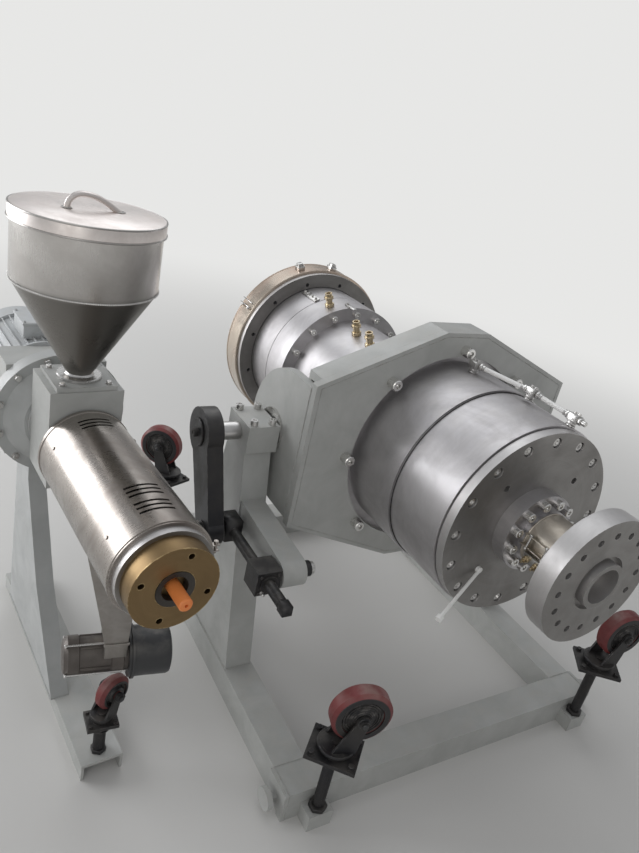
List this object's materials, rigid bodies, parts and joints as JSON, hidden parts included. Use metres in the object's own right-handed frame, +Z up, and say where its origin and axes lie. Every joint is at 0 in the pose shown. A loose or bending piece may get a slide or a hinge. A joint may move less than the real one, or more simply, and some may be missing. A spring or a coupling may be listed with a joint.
{
  "type": "plastic extruder with pipe die head",
  "caption": "Pipe die head in a tilting yoke on a jacked trolley, with a small hopper-fed screw extruder on its own stand beside it.",
  "frame": {"origin": "centre of the whole set's footprint, on the floor", "axes": "+X across the trolley to the right, +Y along the die axis from inlet to outlet, +Z up"},
  "size_m": [1.7582, 1.5704, 1.36],
  "materials": {
    "frame_grey": "satin",
    "die_steel": "turned",
    "dark_steel": "turned",
    "band_steel": "polished",
    "black_steel": "satin",
    "heater_brass": "satin",
    "nose_brass": "satin",
    "stainless": "brushed",
    "cover_steel": "satin",
    "red_wheel": "satin",
    "orange_plug": "satin",
    "fan_black": "satin",
    "motor_grey": "cast",
    "nickel": "satin",
    "white_rod": "satin"
  },
  "bodies": {
    "stand": {"front_beam": "frame_grey", "rear_beam": "frame_grey", "left_beam": "frame_grey", "right_beam": "frame_grey", "jack_blocks": "frame_grey", "jack_screws": "black_steel", "left_post": "frame_grey", "right_post": "frame_grey", "left_pillow_block": "frame_grey", "right_pillow_block": "frame_grey", "tilt_bracket": "frame_grey", "base_channel": "frame_grey", "unit_column": "frame_grey", "bell_housing": "motor_grey", "gearbox": "frame_grey", "motor": "motor_grey", "throat_block": "frame_grey", "hopper": "stainless", "hopper_lid": "stainless", "barrel": "dark_steel", "barrel_cover": "cover_steel", "nose_flange": "nose_brass", "screw_tip": "orange_plug", "blower": "fan_black", "unit_jack": "black_steel"},
    "head": {"yoke_plate": "frame_grey", "yoke_box": "frame_grey", "left_cheek": "frame_grey", "right_cheek": "frame_grey", "trunnion_shafts": "nickel", "front_flange": "dark_steel", "front_body": "die_steel", "rear_body": "die_steel", "waist": "die_steel", "rear_rings": "die_steel", "rear_flange": "dark_steel", "die_bushing": "dark_steel", "mandrel": "dark_steel", "heater_band": "band_steel", "adaptor": "die_steel", "neck_heater": "heater_brass", "inlet_flange": "die_steel", "top_fittings": "nickel", "gauge_rod": "white_rod", "tilt_lever": "black_steel"},
    "tilt_nut": {"tilt_nut": "black_steel"},
    "tilt_spindle": {"tilt_spindle": "black_steel"},
    "fork_front_left": {"fork_front_left": "black_steel"},
    "wheel_front_left": {"wheel_front_left": "red_wheel"},
    "fork_front_right": {"fork_front_right": "black_steel"},
    "wheel_front_right": {"wheel_front_right": "red_wheel"},
    "fork_rear_left": {"fork_rear_left": "black_steel"},
    "wheel_rear_left": {"wheel_rear_left": "red_wheel"},
    "fork_rear_right": {"fork_rear_right": "black_steel"},
    "wheel_rear_right": {"wheel_rear_right": "red_wheel"},
    "unit_fork": {"unit_fork": "black_steel"},
    "unit_wheel": {"unit_wheel": "red_wheel"}
  },
  "joints": [
    {"name": "head_tilt", "type": "hinge", "parent": "stand", "child": "head", "pos_m": [0.2791, 0.03582, 0.79], "axis": [1, 0, 0], "range_deg": [-3, 3]},
    {"name": "nut_swing", "type": "hinge", "parent": "stand", "child": "tilt_nut", "pos_m": [-0.3059, -0.29718, 0.557], "axis": [1, 0, 0], "range_deg": [-1.6, 1.6]},
    {"name": "spindle_slide", "type": "slide", "parent": "tilt_nut", "child": "tilt_spindle", "axis": [0, 1, 0], "range_m": [-0.0125, 0.0125]},
    {"name": "front_left_swivel", "type": "hinge", "parent": "stand", "child": "fork_front_left", "pos_m": [-0.2009, -0.60818, 0.28], "axis": [0, 0, 1], "continuous": true},
    {"name": "front_left_roll", "type": "hinge", "parent": "fork_front_left", "child": "wheel_front_left", "pos_m": [-0.16456, -0.61929, 0.378], "axis": [0.2924, 0.9563, 0], "continuous": true},
    {"name": "front_right_swivel", "type": "hinge", "parent": "stand", "child": "fork_front_right", "pos_m": [0.7591, -0.60818, 0.28], "axis": [0, 0, 1], "continuous": true},
    {"name": "front_right_roll", "type": "hinge", "parent": "fork_front_right", "child": "wheel_front_right", "pos_m": [0.79652, -0.61478, 0.378], "axis": [0.1736, 0.9848, 0], "continuous": true},
    {"name": "rear_left_swivel", "type": "hinge", "parent": "stand", "child": "fork_rear_left", "pos_m": [-0.2009, 0.67982, 0.28], "axis": [0, 0, 1], "continuous": true},
    {"name": "rear_left_roll", "type": "hinge", "parent": "fork_rear_left", "child": "wheel_rear_left", "pos_m": [-0.23001, 0.70425, 0.378], "axis": [-0.6428, -0.766, 0], "continuous": true},
    {"name": "rear_right_swivel", "type": "hinge", "parent": "stand", "child": "fork_rear_right", "pos_m": [0.7591, 0.67982, 0.28], "axis": [0, 0, 1], "continuous": true},
    {"name": "rear_right_roll", "type": "hinge", "parent": "fork_rear_right", "child": "wheel_rear_right", "pos_m": [0.7781, 0.71273, 0.378], "axis": [-0.866, 0.5, 0], "continuous": true},
    {"name": "unit_swivel", "type": "hinge", "parent": "stand", "child": "unit_fork", "pos_m": [-0.66487, -0.26823, 0.176], "axis": [0, 0, 1], "continuous": true},
    {"name": "unit_roll", "type": "hinge", "parent": "unit_fork", "child": "unit_wheel", "pos_m": [-0.6413, -0.25724, 0.234], "axis": [-0.4226, 0.9063, 0], "continuous": true}
  ],
  "couplings": [
    {"joint": "nut_swing", "follows": "head_tilt", "ratio": -0.5136},
    {"joint": "spindle_slide", "follows": "head_tilt", "m_per_rad": 0.233}
  ]
}
